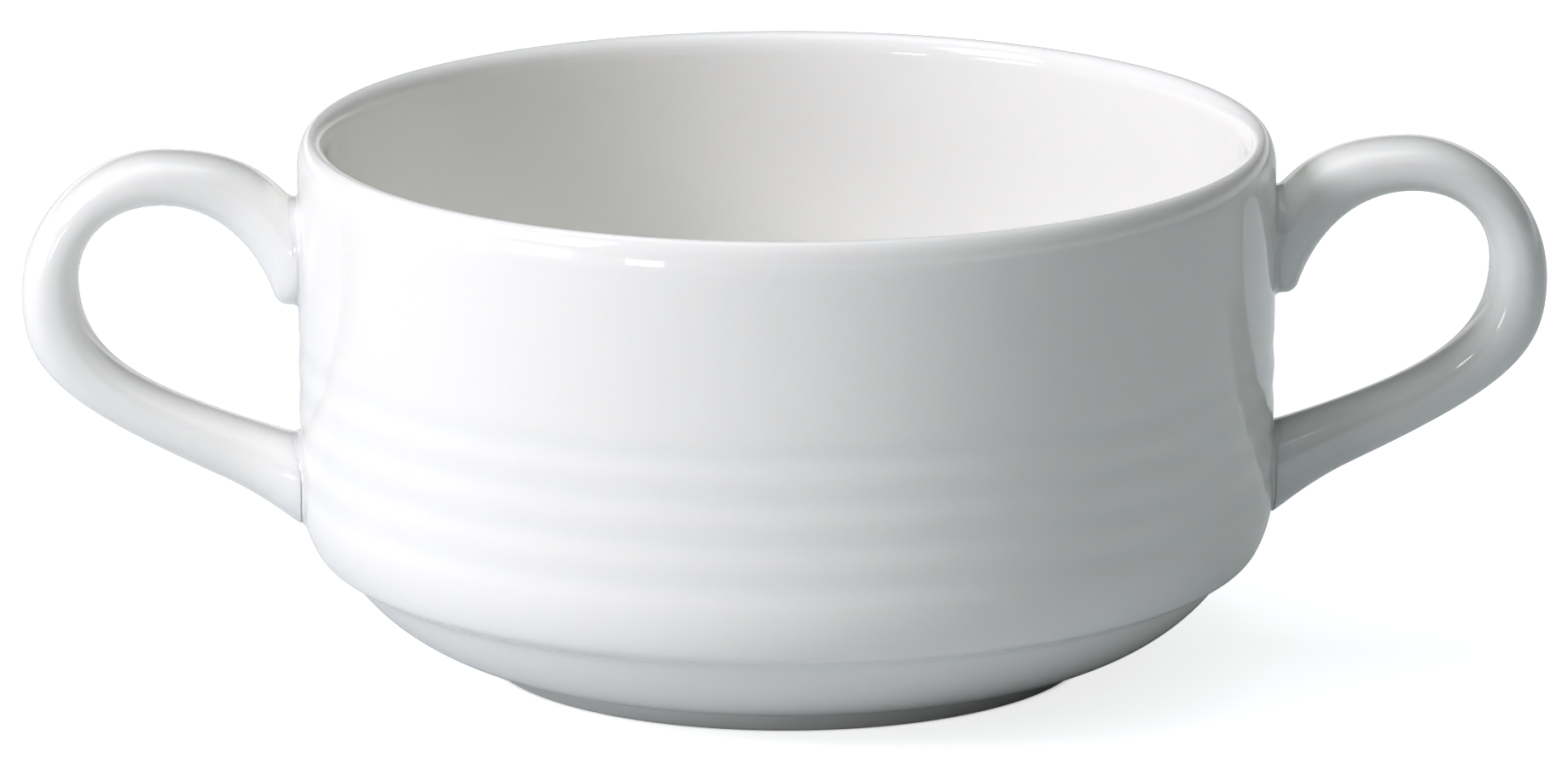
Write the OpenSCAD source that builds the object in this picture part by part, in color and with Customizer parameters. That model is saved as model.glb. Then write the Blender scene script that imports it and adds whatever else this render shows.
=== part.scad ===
// Two-handled stacking soup bowl in glazed porcelain.
// Millimetres. The origin is on the bowl's axis, in the plane that the foot ring stands on.
// +Z is up and the handles lie along X. The wall is turned about Z. Each handle is lofted
// between two outlines, the outer edge and the finger hole, and is luted to the wall with slip.

/* [Bowl] */
// Height from the table to the top of the lip
bowl_h = 57; // [52:0.5:64]
// Radius of the outside of the wall
wall_r = 52; // [47:0.5:58]
// Thickness of the wall
wall_t = 3.2; // [2.6:0.1:4]
// Thickness of the floor
floor_t = 4.2; // [3:0.1:5]
// Radius of the inside curve from the wall to the floor
cavity_curve_r = 18; // [14:0.5:21]

/* [Lip] */
// Width of the lip's outer rounding
lip_out_w = 1.5; // [1:0.1:2]
// Height of the lip's outer rounding
lip_out_h = 3.5; // [2:0.1:4.5]
// Height of the lip's inner rounding
lip_in_h = 2.2; // [1.5:0.1:3.5]

/* [Stacking base] */
// Height of the shoulder's edge above the table
shoulder_z = 12.4; // [11.5:0.1:14]
// Radius of the curve by which the wall draws in to the shoulder
draw_in_r = 11.8; // [9:0.1:15]
// Height of that curve above the shoulder
draw_in_h = 6.3; // [5:0.1:7.5]
// Height of the ledge that rests on the rim of the bowl below
ledge_h = 1.2; // [1:0.1:2]
// Width of the turned edge at the shoulder
shoulder_edge = 0.4; // [0.2:0.05:0.6]
// Clearance of the base inside the rim of the bowl below
nest_gap = 1.1; // [0.4:0.05:1.6]
// Slope at which the underside leaves the foot ring, in degrees
underside_a = 5; // [0:0.5:9]

/* [Foot ring] */
// Height of the foot ring, table to underside
foot_h = 2.1; // [1.8:0.1:2.8]
// Radius of the foot ring where it meets the underside
foot_r = 32.6; // [29:0.2:36]
// Amount by which the foot ring narrows down to the table
foot_taper = 0.4; // [0.3:0.1:1.2]
// Width of the flat face that stands on the table
foot_face_w = 2.4; // [1.8:0.1:3.5]
// Rounding of the foot ring's edges
foot_edge = 0.35; // [0.2:0.05:0.5]
// Depth of the recess inside the foot ring
recess_h = 1.9; // [1.4:0.1:2.4]

/* [Rings] */
// Number of shallow grooves round the wall
groove_n = 4; // [1:1:5]
// Distance from one groove to the next
groove_pitch = 4.6; // [3.5:0.1:5]
// Depth of the grooves
groove_d = 0.12; // [0.06:0.02:0.3]
// Height of the lowest groove's lower edge above the shoulder
groove_rise = 6; // [4.5:0.1:7]

/* [Handles] */
// Distance from the wall to the outermost point of the loop
loop_reach = 29.3; // [27:0.1:32]
// Drop from the lip to the outermost point of the loop
loop_drop = 16.7; // [15:0.1:19]
// Thickness of the strap at the outermost point
loop_t = 6.1; // [5:0.1:7]
// Drop from the lip to the widest point of the finger hole
hole_drop = 14.9; // [13:0.1:17]
// Distance from the wall to the highest point of the loop
crown_reach = 14.5; // [13:0.1:16]
// Drop from the lip to the highest point of the loop
crown_drop = 1.3; // [0.6:0.1:3]
// Thickness of the strap at the highest point
crown_t = 5.6; // [4.6:0.1:6.8]
// Width of the strap
strap_w = 9.6; // [7:0.1:11.5]

/* [Handle roots] */
// Drop from the lip to the top of the upper root
upper_root_drop = 6.9; // [5.4:0.1:7.9]
// Height of the upper root on the wall
upper_root_h = 10.9; // [9.5:0.1:12.5]
// Slope of the strap's upper edge as it leaves the wall, in degrees
upper_root_a = 42; // [35:0.5:48]
// Reach of the upper root's toe from the wall
toe_reach = 2.6; // [2:0.1:3]
// Radius of the toe
toe_r = 1.5; // [1:0.1:1.7]
// Slope of the finger hole's edge above the toe, in degrees
toe_a = 71; // [62:0.5:80]
// Rise from the shoulder to the bottom of the lower root
lower_root_rise = 2.8; // [2:0.1:4]
// Height of the lower root on the wall
lower_root_h = 9.3; // [8.5:0.1:11]
// Slope of the finger hole's edge where it meets the wall, in degrees
hole_low_a = 19; // [14:0.5:24]
// Slope of the strap's lower edge before it flares, in degrees
strap_low_a = 24.5; // [20:0.5:29]
// Width of both roots on the wall
root_w = 13; // [11.6:0.1:15]
// Distance from the wall over which the roots flare
flare_len = 8; // [5:0.5:12]
// Depth of the flare below the lower root
flare_h = 1.3; // [0.5:0.1:2.5]

/* [Slip joints] */
// Thickness of the slip between a handle root and the wall
slip_t = 0.4; // [0.2:0.05:0.8]
// Width of the bead of slip that stands out round a root
slip_bead = 0.3; // [0.1:0.05:0.6]

/* [Hidden] */

// Facets of a full turn, and steps along the curves of the profile
round_fn = 180;
lip_steps = 8;
draw_in_steps = 8;
groove_steps = 10;
underside_steps = 12;
cavity_steps = 16;
// Sides of a strap section, rings in each stretch of the handle, rings in the root's end face
strap_sides = 32;
toe_rings = 5;
upper_leg_rings = 16;
quarter_rings = 14;
lower_leg_rings = 26;
face_rings = 5;
// Amount by which the recess narrows up to its ceiling
recess_taper = 1;

inside_r = wall_r - wall_t;
floor_z = recess_h + floor_t;
// The radius at which the base drops into the rim of a like bowl
nest_r = inside_r - nest_gap;
ledge_z = shoulder_z - ledge_h;
draw_in_z = shoulder_z + draw_in_h;
groove_z = shoulder_z + groove_rise;
groove_top_z = groove_z + groove_n * groove_pitch;
lip_z = bowl_h - lip_out_h;
// The underside is an arc that leaves the foot ring at a low slope and ends at the ledge
underside_span = [nest_r - foot_r, ledge_z - foot_h];
underside_turn = 2 * (heading(underside_span) - underside_a);
underside_r = norm(underside_span) / (2 * sin(underside_turn / 2));
underside_c = at_angle([foot_r, foot_h], underside_r, 90 + underside_a);

upper_root_z = bowl_h - upper_root_drop;
toe_z = upper_root_z - upper_root_h;
lower_root_z = shoulder_z + lower_root_rise;
lower_root_top_z = lower_root_z + lower_root_h;

// Plain radius of the wall at height z, drawn in below draw_in_z
function plain_r(z) =
    z >= draw_in_z ? wall_r
    : wall_r - draw_in_r + sqrt(draw_in_r * draw_in_r - (draw_in_z - z) * (draw_in_z - z));

// Depth of the grooves at height z: one smooth wave for each groove
function groove_depth(z) =
    z <= groove_z || z >= groove_top_z ? 0
    : groove_d * (1 - cos(360 * (z - groove_z) / groove_pitch)) / 2;

function wall_point(z) = [plain_r(z) - groove_depth(z), z];

function heading(v) = atan2(v[1], v[0]);
function at_angle(c, r, a) = c + r * [cos(a), sin(a)];

// Radius of the face of the slip that a handle root sits on
function seat_r(z) = plain_r(z) + slip_t;

// Points of a quarter ellipse or part of a circle, from angle a to angle b
function arc_points(c, rx, ry, a, b, steps) =
    [for (i = [0 : steps]) let (t = a + (b - a) * i / steps) c + [rx * cos(t), ry * sin(t)]];

// Heights at which the wall is sampled between the shoulder and the lip
function wall_heights() = concat(
    [for (i = [1 : draw_in_steps]) shoulder_z + shoulder_edge
        + (groove_z - shoulder_z - shoulder_edge) * i / draw_in_steps],
    [for (i = [1 : groove_n * groove_steps]) groove_z + groove_pitch * i / groove_steps]
);

// Outline of half the bowl's section, from the foot ring up the outside and down the inside
function bowl_profile() =
    let (
        shoulder_r = plain_r(shoulder_z),
        foot_out = foot_r - foot_taper,
        foot_in = foot_out - foot_edge - foot_face_w,
        recess_r = foot_in - recess_taper,
        under_start = underside_a - 90
    )
    concat(
        [[0, recess_h], [recess_r - foot_edge, recess_h], [recess_r, recess_h - foot_edge]],
        [[foot_in - foot_edge, foot_edge], [foot_in, 0], [foot_out - foot_edge, 0]],
        [[foot_out, foot_edge]],
        [[foot_r - foot_edge, foot_h - foot_edge]],
        arc_points(underside_c, underside_r, underside_r,
            under_start + underside_turn / underside_steps, under_start + underside_turn,
            underside_steps - 1),
        [[shoulder_r - shoulder_edge, shoulder_z - shoulder_edge / 2]],
        [[plain_r(shoulder_z + shoulder_edge), shoulder_z + shoulder_edge]],
        [for (z = wall_heights()) wall_point(z)],
        arc_points([wall_r - lip_out_w, lip_z], lip_out_w, lip_out_h, 0, 90, lip_steps),
        arc_points([wall_r - lip_out_w, bowl_h - lip_in_h], -(wall_t - lip_out_w), lip_in_h,
            90 * (1 - 1 / lip_steps), 0, lip_steps - 1),
        arc_points([inside_r - cavity_curve_r, floor_z + cavity_curve_r],
            cavity_curve_r, cavity_curve_r, 0, -90, cavity_steps),
        [[0, floor_z]]
    );

module bowl_body() {
    color("white")
        rotate_extrude($fn = round_fn)
            polygon(bowl_profile());
}

// Smooth curve from point a to point b that leaves and arrives at two headings. Each end pulls
// along its heading by a share of the distance from a to b.
function curve(a, a_heading, b, b_heading, pulls, t) =
    let (
        span = norm(b - a),
        a_pull = at_angle(a, pulls[0] * span, a_heading),
        b_pull = at_angle(b, -pulls[1] * span, b_heading),
        s = 1 - t
    )
    s * s * s * a + 3 * s * s * t * a_pull + 3 * s * t * t * b_pull + t * t * t * b;

// Points of the handle's two outlines, in the plane of the handle
upper_root_p = [seat_r(upper_root_z), upper_root_z];
lower_root_p = [seat_r(lower_root_z), lower_root_z];
lower_root_top_p = [seat_r(lower_root_top_z), lower_root_top_z];
toe_c = [wall_r + toe_reach - toe_r, toe_z + toe_r];
toe_end_p = at_angle(toe_c, toe_r, toe_a - 90);
crown_p = [wall_r + crown_reach, bowl_h - crown_drop];
hole_top_p = crown_p - [0, crown_t];
loop_end_p = [wall_r + loop_reach, bowl_h - loop_drop];
hole_end_p = [loop_end_p[0] - loop_t, bowl_h - hole_drop];

// Pulls of the curves between those points, for the strap's outer edge and the finger hole's edge
strap_upper_pulls = [0.18, 0.64];
strap_end_pulls = [0.33, 0.42];
strap_lower_pulls = [0.24, 0.72];
hole_upper_pulls = [0.4, 0.35];
hole_end_pulls = [0.53, 0.3];
hole_lower_pulls = [0.36, 0.48];

// Share of the upper leg beside the toe, and lead of the outer edge along the lower leg
toe_share = 0.2;
outer_lead = 0.2;

function strap_upper(t) = curve(upper_root_p, upper_root_a, crown_p, 0, strap_upper_pulls, t);
function strap_end(t) = curve(crown_p, 0, loop_end_p, -90, strap_end_pulls, t);
function strap_lower(t) =
    curve(loop_end_p, -90, lower_root_p + [0, flare_h], 180 + strap_low_a, strap_lower_pulls, t);
function hole_upper(t) = curve(toe_end_p, toe_a, hole_top_p, 0, hole_upper_pulls, t);
function hole_end(t) = curve(hole_top_p, 0, hole_end_p, -90, hole_end_pulls, t);
function hole_lower(t) =
    curve(hole_end_p, -90, lower_root_top_p, 180 + hole_low_a, hole_lower_pulls, t);

// The lower outside edge sinks below its plain curve near the wall, in a smooth flare
function flared(p) =
    let (s = max(0, 1 - (p[0] - wall_r - slip_t) / flare_len)) p - [0, flare_h * s * s];

// Pairs of points, one on the outer edge and one on the finger hole's edge, from root to root
function rails() = concat(
    [for (i = [0 : toe_rings - 1]) let (t = i / toe_rings) [
        strap_upper(toe_share * t),
        i == 0 ? [seat_r(toe_z), toe_z] : at_angle(toe_c, toe_r, toe_a * t - 90)
    ]],
    [for (i = [0 : upper_leg_rings - 1]) let (t = i / upper_leg_rings)
        [strap_upper(toe_share + (1 - toe_share) * t), hole_upper(t)]],
    [for (i = [0 : quarter_rings - 1]) let (t = i / quarter_rings)
        [strap_end(t), hole_end(t)]],
    [for (i = [0 : lower_leg_rings - 1]) let (t = i / lower_leg_rings)
        [flared(strap_lower(t + outer_lead * t * (1 - t))), hole_lower(t)]],
    [[lower_root_p, lower_root_top_p]]
);

// Half the strap's width where its middle is at distance r from the axis
function half_w(r) =
    let (s = max(0, 1 - (r - wall_r - slip_t) / flare_len))
    (strap_w + (root_w - strap_w) * s * s) / 2;

// A point of the handle at distance r from the bowl's axis, so that a root follows the round wall
function around(r, y, z) = [sqrt(r * r - y * y), y, z];

// Section between the two outlines: an ellipse, shrunk by k, and laid on the seat at a root
function section(pair, k, seated) =
    let (mid = (pair[0] + pair[1]) / 2, half = (pair[0] - pair[1]) / 2, w = half_w(mid[0]))
    [for (i = [0 : strap_sides - 1]) let (
        a = 360 * i / strap_sides,
        p = mid + half * k * cos(a)
    ) around(seated ? seat_r(p[1]) : p[0], w * k * sin(a), p[1])];

// All rings of the handle: the upper root's face from its middle out, the strap, the lower face
function handle_rings() =
    let (pairs = rails(), last = len(pairs) - 1)
    concat(
        [for (i = [1 : face_rings - 1]) section(pairs[0], i / face_rings, true)],
        [for (i = [0 : last]) section(pairs[i], 1, i == 0 || i == last)],
        [for (i = [face_rings - 1 : -1 : 1]) section(pairs[last], i / face_rings, true)]
    );

// Middle of a root's face
function face_middle(pair) =
    let (z = (pair[0][1] + pair[1][1]) / 2) [seat_r(z), 0, z];

module loop_handle() {
    pairs = rails();
    rings = handle_rings();
    n = strap_sides;
    count = len(rings);
    points = concat(
        [for (ring = rings) each ring],
        [face_middle(pairs[0]), face_middle(pairs[len(pairs) - 1])]
    );
    faces = concat(
        [for (j = [0 : n - 1]) [count * n, (j + 1) % n, j]],
        [for (i = [0 : count - 2], j = [0 : n - 1]) [i * n + j, i * n + (j + 1) % n, (i + 1) * n + j]],
        [for (i = [0 : count - 2], j = [0 : n - 1])
            [i * n + (j + 1) % n, (i + 1) * n + (j + 1) % n, (i + 1) * n + j]],
        [for (j = [0 : n - 1]) [count * n + 1, (count - 1) * n + j, (count - 1) * n + (j + 1) % n]]
    );
    polyhedron(points, faces);
}

// Outline of a root on the wall, grown by the bead
module root_outline(z_low, z_high) {
    z_mid = (z_low + z_high) / 2;
    half_h = (z_high - z_low) / 2 + slip_bead;
    half_root_w = root_w / 2 + slip_bead;
    polygon([for (i = [0 : strap_sides - 1]) let (a = 360 * i / strap_sides)
        [half_root_w * sin(a), z_mid + half_h * cos(a)]]);
}

// The slip fills the space between the ringed wall and the seat of a handle root
module slip_layer(z_low, z_high) {
    low = z_low - slip_bead;
    high = z_high + slip_bead;
    inner = concat(
        [wall_point(low)],
        [for (z = wall_heights()) if (z > low && z < high) wall_point(z)],
        [wall_point(high)]
    );
    outer = [for (i = [len(inner) - 1 : -1 : 0]) [seat_r(inner[i][1]), inner[i][1]]];
    intersection() {
        rotate_extrude($fn = round_fn)
            polygon(concat(inner, outer));
        rotate([90, 0, 90])
            linear_extrude(height = wall_r + slip_t)
                root_outline(z_low, z_high);
    }
}

module right_handle() {
    color("whitesmoke")
        loop_handle();
}

module left_handle() {
    color("whitesmoke")
        mirror([1, 0, 0])
            loop_handle();
}

module right_upper_slip_joint() {
    color("ivory")
        slip_layer(toe_z, upper_root_z);
}

module right_lower_slip_joint() {
    color("ivory")
        slip_layer(lower_root_z, lower_root_top_z);
}

module left_upper_slip_joint() {
    color("ivory")
        mirror([1, 0, 0])
            slip_layer(toe_z, upper_root_z);
}

module left_lower_slip_joint() {
    color("ivory")
        mirror([1, 0, 0])
            slip_layer(lower_root_z, lower_root_top_z);
}

bowl_body();
left_handle();
right_handle();
left_upper_slip_joint();
left_lower_slip_joint();
right_upper_slip_joint();
right_lower_slip_joint();
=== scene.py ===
"""Looks of a two-handled stacking soup bowl in glazed white porcelain.

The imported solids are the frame. The bowl, its two loop handles and the beads of slip at the
handles' roots are modelled over them, at the same sizes, and dressed in a clear gloss glaze.
Sizes are written in millimetres and meshes are in metres.
"""

from __future__ import annotations

import logging
import math
from dataclasses import dataclass, field
from enum import Enum
from functools import cached_property, partial, reduce
from itertools import pairwise

import bmesh
import bpy
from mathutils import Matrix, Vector

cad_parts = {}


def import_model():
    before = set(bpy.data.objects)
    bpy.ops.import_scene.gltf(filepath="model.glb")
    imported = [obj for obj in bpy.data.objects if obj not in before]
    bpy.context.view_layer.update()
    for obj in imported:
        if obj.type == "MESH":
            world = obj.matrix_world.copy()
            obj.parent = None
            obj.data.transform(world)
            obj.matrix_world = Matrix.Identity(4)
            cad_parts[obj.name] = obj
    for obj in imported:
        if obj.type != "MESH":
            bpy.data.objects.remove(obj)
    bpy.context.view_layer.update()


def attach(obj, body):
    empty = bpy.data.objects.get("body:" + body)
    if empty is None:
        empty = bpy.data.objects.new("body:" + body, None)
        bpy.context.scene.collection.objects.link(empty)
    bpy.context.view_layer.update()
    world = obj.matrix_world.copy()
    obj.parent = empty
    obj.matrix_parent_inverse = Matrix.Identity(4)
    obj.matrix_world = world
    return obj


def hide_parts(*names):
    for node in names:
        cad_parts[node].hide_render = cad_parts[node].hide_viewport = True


LOG = logging.getLogger("soup_bowl")
MM = 0.001
ROOT_BODY = "root"
MERGE_DISTANCE = 1e-6
LIP_BLEND = 0.008  # how far the painted light's whiter inside colour spreads over the lip, as radius times slope

# Steps along the parts of the bowl's outline
CORNER_STEPS = 6
LEDGE_STEPS = 5
UNDERSIDE_STEPS = 30
DRAW_IN_STEPS = 16
GROOVE_STEPS = 14
LIP_OUT_STEPS = 22
LIP_IN_STEPS = 18
CAVITY_STEPS = 44
FOOT_TRIM = 4  # steps of the underside that the rounding at the foot takes
LEDGE_TRIM = 2  # steps of the underside that the rounding at the ledge takes

# Places of the outline's points on its flat and straight stretches, in millimetres
RECESS_RINGS = (0.0, 6.0, 14.0, 22.0)
WALL_RINGS = (41.0, 46.0, 50.0)
INSIDE_RINGS = (48.0, 40.0, 32.0)
FLOOR_RINGS = (24.0, 16.0, 8.0, 0.0)

COLOUR_MIX_INPUTS = (0, 6, 7)  # places of the share and the two colours among a mix's inputs
COLOUR_MIX_OUTPUT = 2

Colour = tuple[float, float, float]
Pulls = tuple[float, float]
Socket = bpy.types.NodeSocket
Source = Socket | float | tuple[float, ...]  # what an input gets: an output, number or colour


@dataclass(frozen=True)
class Spot:
    """A point of an outline in millimetres: distance from the bowl's axis, and height."""

    r: float
    z: float

    def toward(self, other: Spot, share: float) -> Spot:
        """The point that lies a share of the way to another one."""
        return Spot(self.r + (other.r - self.r) * share, self.z + (other.z - self.z) * share)

    def distance(self, other: Spot) -> float:
        """The distance to another point."""
        return math.hypot(other.r - self.r, other.z - self.z)

    def heading(self, other: Spot) -> float:
        """The angle of the line to another point, above the horizontal."""
        return math.atan2(other.z - self.z, other.r - self.r)

    def stepped(self, length: float, heading: float) -> Spot:
        """The point a length away, along a heading in degrees."""
        turn = math.radians(heading)
        return Spot(self.r + length * math.cos(turn), self.z + length * math.sin(turn))


@dataclass(frozen=True)
class Arc:
    """A quarter ellipse or a part of a circle, about a centre."""

    centre: Spot
    width: float
    height: float

    def at(self, angle: float) -> Spot:
        """The point at an angle in radians."""
        r = self.centre.r + self.width * math.cos(angle)
        return Spot(r, self.centre.z + self.height * math.sin(angle))

    def swept(self, start: float, end: float, steps: int) -> list[Spot]:
        """Points along the arc.

        Args:
            start: Angle of the first point, in degrees.
            end: Angle of the last point, in degrees.
            steps: Number of steps between them.

        Returns:
            The points, both ends included.
        """
        span = end - start
        return [self.at(math.radians(start + span * i / steps)) for i in range(steps + 1)]


def circle(centre: Spot, radius: float) -> Arc:
    """A round arc about a centre."""
    return Arc(centre, radius, radius)


@dataclass(frozen=True)
class Curve:
    """A smooth curve between two points, with a heading and a pull at each end.

    Each end pulls along its heading by a share of the distance between the two points.
    """

    start: Spot
    start_heading: float
    end: Spot
    end_heading: float
    pulls: Pulls

    def at(self, t: float) -> Spot:
        """A point of the curve.

        Args:
            t: Share of the way along it, from 0 to 1.

        Returns:
            The point.
        """
        span = self.start.distance(self.end)
        near = self.start.stepped(self.pulls[0] * span, self.start_heading)
        far = self.end.stepped(-self.pulls[1] * span, self.end_heading)
        return blended((self.start, near, far, self.end), t)


def blended(points: tuple[Spot, ...], t: float) -> Spot:
    """Blends a row of points down to one, each with the next.

    Args:
        points: The row of points.
        t: Share of the way from each point to the next.

    Returns:
        The one point that is left.
    """
    while len(points) > 1:
        points = tuple(one.toward(following, t) for one, following in pairwise(points))
    return points[0]


def rounded_corner(before: Spot, corner: Spot, after: Spot, cut: float, steps: int) -> list[Spot]:
    """Rounds one corner of an outline.

    Args:
        before: The outline's point before the corner.
        corner: The corner itself.
        after: The outline's point after the corner.
        cut: Length that the rounding takes from each side.
        steps: Number of steps along the rounding.

    Returns:
        Points of a smooth curve that leaves and joins the two sides without a kink.
    """
    start = corner.toward(before, cut / corner.distance(before))
    end = corner.toward(after, cut / corner.distance(after))
    curve = []
    for i in range(steps + 1):
        t = i / steps
        curve.append(start.toward(corner, t).toward(corner.toward(end, t), t))
    return curve


@dataclass(frozen=True)
class BowlShape:
    """The turned form of the bowl, in millimetres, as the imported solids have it."""

    height: float = 57.0
    wall_radius: float = 52.0
    wall: float = 3.2
    floor: float = 4.2
    cavity_curve: float = 18.0
    lip_out_width: float = 1.5
    lip_out_height: float = 3.5
    lip_in_height: float = 2.2
    shoulder: float = 12.4
    draw_in_radius: float = 11.8
    draw_in_height: float = 6.3
    ledge: float = 1.2
    shoulder_round: float = 0.8
    nest_gap: float = 1.1
    underside_slope: float = 5.0
    foot_height: float = 2.1
    foot_radius: float = 32.6
    foot_taper: float = 0.4
    foot_face: float = 2.4
    foot_edge: float = 0.35
    foot_root: float = 0.5
    foot_root_inset: float = 0.245
    foot_root_drop: float = 0.02
    ledge_round: float = 0.35
    recess: float = 1.9
    recess_taper: float = 1.0
    recess_round: float = 0.9
    grooves: int = 4
    groove_pitch: float = 4.6
    groove_depth: float = 0.12
    groove_rise: float = 6.0
    slip: float = 0.4

    @property
    def inside_radius(self) -> float:
        """Radius of the inside of the wall."""
        return self.wall_radius - self.wall

    @property
    def floor_height(self) -> float:
        """Height of the inside floor."""
        return self.recess + self.floor

    @property
    def groove_bottom(self) -> float:
        """Height at which the lowest groove starts."""
        return self.shoulder + self.groove_rise

    @property
    def groove_top(self) -> float:
        """Height at which the highest groove ends."""
        return self.groove_bottom + self.grooves * self.groove_pitch

    def plain_radius(self, z: float) -> float:
        """Radius of the wall without its grooves.

        Args:
            z: Height above the foot.

        Returns:
            The radius at that height.
        """
        below = self.shoulder + self.draw_in_height - z
        if below <= 0:
            return self.wall_radius
        bend = self.draw_in_radius
        return self.wall_radius - bend + math.sqrt(bend * bend - below * below)

    def groove(self, z: float) -> float:
        """Depth of the grooves, with one smooth wave for each.

        Args:
            z: Height above the foot.

        Returns:
            The depth at that height.
        """
        if not self.groove_bottom < z < self.groove_top:
            return 0.0
        wave = math.cos(math.tau * (z - self.groove_bottom) / self.groove_pitch)
        return self.groove_depth * (1 - wave) / 2

    def outside(self, z: float) -> Spot:
        """Point of the wall's outside at a height."""
        return Spot(self.plain_radius(z) - self.groove(z), z)

    def underside(self) -> list[Spot]:
        """Outline of the base.

        Returns:
            Points from the middle of the recess to the shoulder's edge.
        """
        foot_out = self.foot_radius - self.foot_taper
        foot_in = foot_out - self.foot_edge - self.foot_face
        inner = Spot(self.inside_radius - self.nest_gap, self.shoulder - self.ledge)
        edge = Spot(self.plain_radius(self.shoulder), self.shoulder)
        start = Spot(self.foot_radius, self.foot_height)
        turn = 2 * (start.heading(inner) - math.radians(self.underside_slope))
        bend = start.distance(inner) / (2 * math.sin(turn / 2))
        under = circle(start.stepped(bend, 90 + self.underside_slope), bend)
        first = self.underside_slope - 90
        sweep = under.swept(first, first + math.degrees(turn), UNDERSIDE_STEPS)
        sweep = sweep[FOOT_TRIM:-LEDGE_TRIM]
        foot_root = Spot(start.r - self.foot_root_inset, start.z - self.foot_root_drop)
        corners = [
            (Spot(foot_in - self.recess_taper, self.recess), self.recess_round),
            (Spot(foot_in - self.foot_edge / 2, 0), self.foot_edge),
            (Spot(foot_out - self.foot_edge / 8, 0), self.foot_edge),
            (foot_root, self.foot_root),
        ]
        path = [Spot(0, self.recess), *(corner for corner, _ in corners), sweep[0]]
        outline = [Spot(r, self.recess) for r in RECESS_RINGS]
        for i, (corner, cut) in enumerate(corners, start=1):
            outline += rounded_corner(path[i - 1], corner, path[i + 1], cut, CORNER_STEPS)
        outline += sweep
        outline += rounded_corner(sweep[-1], inner, edge, self.ledge_round, LEDGE_STEPS)
        above = self.outside(self.shoulder + 1)
        outline += rounded_corner(inner, edge, above, self.shoulder_round, CORNER_STEPS)
        return outline

    def profile(self) -> list[Spot]:
        """Outline of half the bowl's section.

        Returns:
            Points up the outside and down the inside, with both ends on the axis.
        """
        low = self.shoulder + self.shoulder_round
        draw_in = (self.groove_bottom - low) / DRAW_IN_STEPS
        wave = self.groove_pitch / GROOVE_STEPS
        lip_r = self.wall_radius - self.lip_out_width
        lip_out = Arc(Spot(lip_r, self.height - self.lip_out_height), self.lip_out_width,
                      self.lip_out_height)
        lip_in = Arc(Spot(lip_r, self.height - self.lip_in_height), self.inside_radius - lip_r,
                     self.lip_in_height)
        cavity = circle(
            Spot(self.inside_radius - self.cavity_curve, self.floor_height + self.cavity_curve),
            self.cavity_curve,
        )
        return [
            *self.underside(),
            *[self.outside(low + draw_in * i) for i in range(1, DRAW_IN_STEPS + 1)],
            *[self.outside(self.groove_bottom + wave * i)
              for i in range(1, self.grooves * GROOVE_STEPS + 1)],
            *[Spot(self.wall_radius, z) for z in WALL_RINGS],
            *lip_out.swept(0, 90, LIP_OUT_STEPS),
            *lip_in.swept(90, 0, LIP_IN_STEPS)[1:],
            *[Spot(self.inside_radius, z) for z in INSIDE_RINGS],
            *cavity.swept(0, -90, CAVITY_STEPS),
            *[Spot(r, self.floor_height) for r in FLOOR_RINGS],
        ]


@dataclass(frozen=True)
class Section:
    """A cross-section of a strap: a rounded form between an outer and an inner point."""

    outer: Spot
    inner: Spot
    half_width: float

    @property
    def middle(self) -> Spot:
        """Middle of the section."""
        return self.outer.toward(self.inner, 0.5)

    @property
    def tilt(self) -> float:
        """Angle of the section's thickness above the horizontal."""
        return self.inner.heading(self.outer)

    @property
    def half_thickness(self) -> float:
        """Half the section's thickness."""
        return self.inner.distance(self.outer) / 2


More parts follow.
